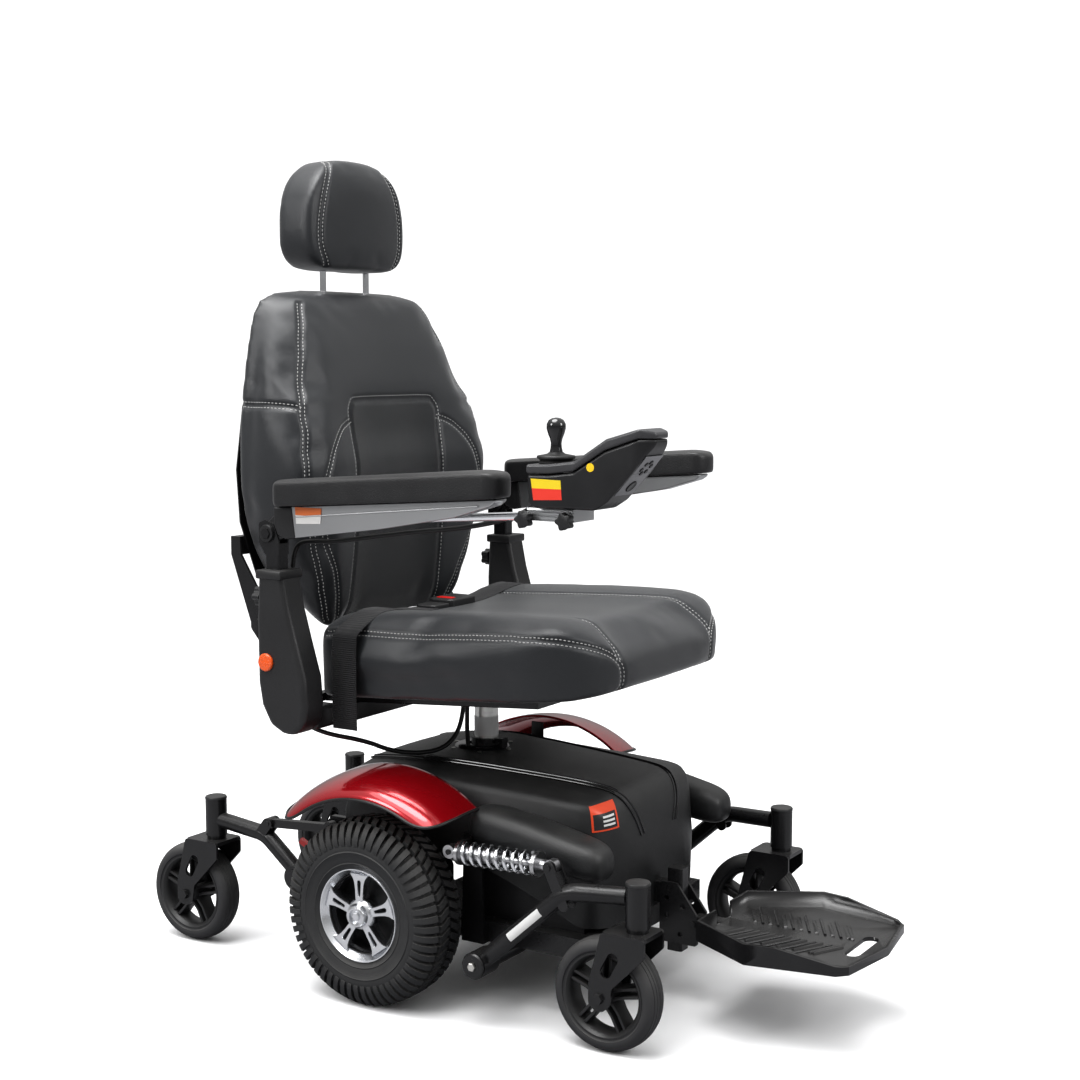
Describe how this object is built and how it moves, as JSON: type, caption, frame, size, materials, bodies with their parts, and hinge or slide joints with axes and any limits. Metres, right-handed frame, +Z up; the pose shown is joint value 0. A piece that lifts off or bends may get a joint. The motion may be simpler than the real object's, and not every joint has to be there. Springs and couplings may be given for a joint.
{
  "type": "power wheelchair",
  "caption": "Mid-wheel power wheelchair with a padded captain's seat on a post, swing-away armrests, joystick, sprung front casters and a flip-up footplate.",
  "frame": {"origin": "on the floor, under the middle of the drive axle", "axes": "+Z up, -Y is the way the chair drives and the occupant faces, +X is the occupant's left"},
  "size_m": [0.6645, 1.1885, 1.25],
  "materials": {
    "tyre_rubber": "matte moulded tread",
    "rim_silver": "satin cast",
    "frame_black": "semi-gloss powder coat",
    "motor_grey": "satin",
    "battery_case": "matte",
    "shroud_plastic": "fine grain",
    "fender_red": "gloss candy red",
    "chrome_spring": "polished",
    "damper_silver": "satin",
    "caster_hub": "satin",
    "caster_rubber": "matte",
    "seat_vinyl": "fine grain, stitched",
    "webbing": "woven",
    "post_steel": "satin",
    "moulded_black": "satin moulded",
    "pad_urethane": "self-skinned foam",
    "rail_silver": "satin anodised",
    "control_black": "satin",
    "cable_black": "matte",
    "lever_red": "gloss",
    "button_grey": "gloss"
  },
  "bodies": {
    "base": {"chassis_frame": "frame_black", "batteries": "battery_case", "base_shroud": "shroud_plastic", "motors": "motor_grey", "fenders": "fender_red", "rear_struts": "frame_black", "seat_post": "post_steel", "seat_pan": "frame_black", "footrest_post": "frame_black", "seat_cushion": "seat_vinyl", "seat_belt": "webbing", "arm_sleeve_left": "moulded_black", "arm_sleeve_right": "moulded_black", "base_cable": "cable_black"},
    "backrest": {"back_frame": "frame_black", "back_cushion": "seat_vinyl"},
    "headrest": {"headrest_posts": "post_steel", "headrest_cushion": "seat_vinyl"},
    "footplate": {"footplate": "moulded_black"},
    "joystick_module": {"joystick_mount": "post_steel", "joystick_housing": "control_black"},
    "joystick_gimbal": {"joystick_gimbal": "control_black"},
    "joystick_stick": {"joystick_stick": "control_black"},
    "power_button": {"power_button": "button_grey"},
    "horn_button": {"horn_button": "button_grey"},
    "speed_rocker": {"speed_rocker": "button_grey"},
    "drive_wheel_left": {"drive_tyre_left": "tyre_rubber", "drive_rim_left": "rim_silver"},
    "freewheel_left": {"freewheel_lever_left": "lever_red"},
    "front_arm_left": {"front_arm_left": "frame_black"},
    "shock_body_left": {"shock_body_left": "damper_silver", "shock_spring_left": "chrome_spring"},
    "shock_rod_left": {"shock_rod_left": "damper_silver"},
    "rear_arm_left": {"rear_arm_left": "frame_black"},
    "caster_fork_front_left": {"caster_fork_front_left": "frame_black"},
    "caster_wheel_front_left": {"caster_wheel_front_left": "caster_rubber"},
    "caster_fork_rear_left": {"caster_fork_rear_left": "frame_black"},
    "caster_wheel_rear_left": {"caster_wheel_rear_left": "caster_rubber"},
    "arm_post_left": {"arm_post_left": "frame_black"},
    "armrest_left": {"arm_rail_left": "rail_silver", "arm_pad_left": "pad_urethane"},
    "arm_knob_left": {"arm_knob_left": "moulded_black"},
    "drive_wheel_right": {"drive_tyre_right": "tyre_rubber", "drive_rim_right": "rim_silver"},
    "freewheel_right": {"freewheel_lever_right": "lever_red"},
    "front_arm_right": {"front_arm_right": "frame_black"},
    "shock_body_right": {"shock_body_right": "damper_silver", "shock_spring_right": "chrome_spring"},
    "shock_rod_right": {"shock_rod_right": "damper_silver"},
    "rear_arm_right": {"rear_arm_right": "frame_black"},
    "caster_fork_front_right": {"caster_fork_front_right": "frame_black"},
    "caster_wheel_front_right": {"caster_wheel_front_right": "caster_rubber"},
    "caster_fork_rear_right": {"caster_fork_rear_right": "frame_black"},
    "caster_wheel_rear_right": {"caster_wheel_rear_right": "caster_rubber"},
    "arm_post_right": {"arm_post_right": "frame_black", "arm_cable": "cable_black"},
    "armrest_right": {"arm_rail_right": "rail_silver", "arm_pad_right": "pad_urethane", "joystick_cable": "cable_black"},
    "arm_knob_right": {"arm_knob_right": "moulded_black"}
  },
  "joints": [
    {"name": "drive_wheel_left_spin", "type": "hinge", "parent": "base", "child": "drive_wheel_left", "pos_m": [0.253, 0, 0.137], "axis": [1, 0, 0], "continuous": true},
    {"name": "freewheel_left_turn", "type": "hinge", "parent": "base", "child": "freewheel_left", "pos_m": [0.164, 0.175, 0.17], "axis": [1, 0, 0], "range_deg": [0, 35]},
    {"name": "front_arm_left_swing", "type": "hinge", "parent": "base", "child": "front_arm_left", "pos_m": [0.25, -0.186, 0.09], "axis": [-1, 0, 0], "range_deg": [-5, 8], "stiffness_Nm_per_rad": 1500},
    {"name": "shock_left_tilt", "type": "hinge", "parent": "base", "child": "shock_body_left", "pos_m": [0.244, -0.131, 0.241], "axis": [-1, 0, 0], "range_deg": [-4, 6]},
    {"name": "shock_left_travel", "type": "slide", "parent": "shock_body_left", "child": "shock_rod_left", "axis": [0, -0.9997, 0.0237], "range_m": [-0.0225, 0.0145], "deforming": ["shock_spring_left"]},
    {"name": "rear_arm_left_swing", "type": "hinge", "parent": "base", "child": "rear_arm_left", "pos_m": [0.18, 0.198, 0.137], "axis": [1, 0, 0], "range_deg": [-4, 5], "stiffness_Nm_per_rad": 1500, "deforming": ["rear_struts"]},
    {"name": "caster_front_left_swivel", "type": "hinge", "parent": "front_arm_left", "child": "caster_fork_front_left", "pos_m": [0.233, -0.428, 0.2], "axis": [0, 0, 1], "continuous": true},
    {"name": "caster_front_left_spin", "type": "hinge", "parent": "caster_fork_front_left", "child": "caster_wheel_front_left", "pos_m": [0.233, -0.384, 0.0795], "axis": [1, 0, 0], "continuous": true},
    {"name": "caster_rear_left_swivel", "type": "hinge", "parent": "rear_arm_left", "child": "caster_fork_rear_left", "pos_m": [0.18, 0.371, 0.2], "axis": [0, 0, 1], "continuous": true},
    {"name": "caster_rear_left_spin", "type": "hinge", "parent": "caster_fork_rear_left", "child": "caster_wheel_rear_left", "pos_m": [0.18, 0.415, 0.0795], "axis": [1, 0, 0], "continuous": true},
    {"name": "armrest_left_height", "type": "slide", "parent": "base", "child": "arm_post_left", "axis": [0, 0, 1], "range_m": [0, 0.05]},
    {"name": "armrest_left_flip", "type": "hinge", "parent": "arm_post_left", "child": "armrest_left", "pos_m": [0.3, 0.142, 0.686], "axis": [-1, 0, 0], "range_deg": [0, 95]},
    {"name": "arm_knob_left_turn", "type": "hinge", "parent": "base", "child": "arm_knob_left", "pos_m": [0.3, 0.165, 0.592], "axis": [0, 1, 0], "continuous": true},
    {"name": "drive_wheel_right_spin", "type": "hinge", "parent": "base", "child": "drive_wheel_right", "pos_m": [-0.253, 0, 0.137], "axis": [1, 0, 0], "continuous": true},
    {"name": "freewheel_right_turn", "type": "hinge", "parent": "base", "child": "freewheel_right", "pos_m": [-0.164, 0.175, 0.17], "axis": [1, 0, 0], "range_deg": [0, 35]},
    {"name": "front_arm_right_swing", "type": "hinge", "parent": "base", "child": "front_arm_right", "pos_m": [-0.25, -0.186, 0.09], "axis": [-1, 0, 0], "range_deg": [-5, 8], "stiffness_Nm_per_rad": 1500},
    {"name": "shock_right_tilt", "type": "hinge", "parent": "base", "child": "shock_body_right", "pos_m": [-0.244, -0.131, 0.241], "axis": [-1, 0, 0], "range_deg": [-4, 6]},
    {"name": "shock_right_travel", "type": "slide", "parent": "shock_body_right", "child": "shock_rod_right", "axis": [0, -0.9997, 0.0237], "range_m": [-0.0225, 0.0145], "deforming": ["shock_spring_right"]},
    {"name": "rear_arm_right_swing", "type": "hinge", "parent": "base", "child": "rear_arm_right", "pos_m": [-0.18, 0.198, 0.137], "axis": [1, 0, 0], "range_deg": [-4, 5], "stiffness_Nm_per_rad": 1500, "deforming": ["rear_struts"]},
    {"name": "caster_front_right_swivel", "type": "hinge", "parent": "front_arm_right", "child": "caster_fork_front_right", "pos_m": [-0.233, -0.428, 0.2], "axis": [0, 0, 1], "continuous": true},
    {"name": "caster_front_right_spin", "type": "hinge", "parent": "caster_fork_front_right", "child": "caster_wheel_front_right", "pos_m": [-0.233, -0.384, 0.0795], "axis": [1, 0, 0], "continuous": true},
    {"name": "caster_rear_right_swivel", "type": "hinge", "parent": "rear_arm_right", "child": "caster_fork_rear_right", "pos_m": [-0.18, 0.371, 0.2], "axis": [0, 0, 1], "continuous": true},
    {"name": "caster_rear_right_spin", "type": "hinge", "parent": "caster_fork_rear_right", "child": "caster_wheel_rear_right", "pos_m": [-0.18, 0.415, 0.0795], "axis": [1, 0, 0], "continuous": true},
    {"name": "armrest_right_height", "type": "slide", "parent": "base", "child": "arm_post_right", "axis": [0, 0, 1], "range_m": [0, 0.05], "deforming": ["arm_cable"]},
    {"name": "armrest_right_flip", "type": "hinge", "parent": "arm_post_right", "child": "armrest_right", "pos_m": [-0.3, 0.142, 0.686], "axis": [-1, 0, 0], "range_deg": [0, 95]},
    {"name": "arm_knob_right_turn", "type": "hinge", "parent": "base", "child": "arm_knob_right", "pos_m": [-0.3, 0.165, 0.592], "axis": [0, 1, 0], "continuous": true},
    {"name": "backrest_recline", "type": "hinge", "parent": "base", "child": "backrest", "pos_m": [0, 0.225, 0.54], "axis": [-1, 0, 0], "range_deg": [-8, 30]},
    {"name": "headrest_height", "type": "slide", "parent": "backrest", "child": "headrest", "axis": [0, 0, 1], "range_m": [0, 0.06]},
    {"name": "footplate_flip", "type": "hinge", "parent": "base", "child": "footplate", "pos_m": [0, -0.4, 0.116], "axis": [-1, 0, 0], "range_deg": [0, 80]},
    {"name": "joystick_reach", "type": "slide", "parent": "armrest_right", "child": "joystick_module", "axis": [0, -0.9976, 0.0697], "range_m": [0, 0.05]},
    {"name": "joystick_pitch", "type": "hinge", "parent": "joystick_module", "child": "joystick_gimbal", "pos_m": [-0.3, -0.34, 0.787], "axis": [1, 0, 0], "range_deg": [-16, 16], "stiffness_Nm_per_rad": 0.6},
    {"name": "joystick_roll", "type": "hinge", "parent": "joystick_gimbal", "child": "joystick_stick", "pos_m": [-0.3, -0.34, 0.787], "axis": [0, 1, 0], "range_deg": [-16, 16], "stiffness_Nm_per_rad": 0.6},
    {"name": "power_button_press", "type": "slide", "parent": "joystick_module", "child": "power_button", "axis": [0, -0.251, -0.968], "range_m": [0, 0.0015], "stiffness_N_per_m": 600},
    {"name": "horn_button_press", "type": "slide", "parent": "joystick_module", "child": "horn_button", "axis": [0, -0.251, -0.968], "range_m": [0, 0.0015], "stiffness_N_per_m": 600},
    {"name": "speed_rocker_tilt", "type": "hinge", "parent": "joystick_module", "child": "speed_rocker", "pos_m": [-0.3, -0.44025, 0.8387], "axis": [1, 0, 0], "range_deg": [-5, 5], "stiffness_Nm_per_rad": 0.05}
  ],
  "couplings": [
    {"joint": "shock_left_tilt", "follows": "front_arm_left_swing", "ratio": 0.7},
    {"joint": "shock_left_travel", "follows": "front_arm_left_swing", "m_per_rad": -0.153},
    {"joint": "shock_right_tilt", "follows": "front_arm_right_swing", "ratio": 0.7},
    {"joint": "shock_right_travel", "follows": "front_arm_right_swing", "m_per_rad": -0.153}
  ]
}
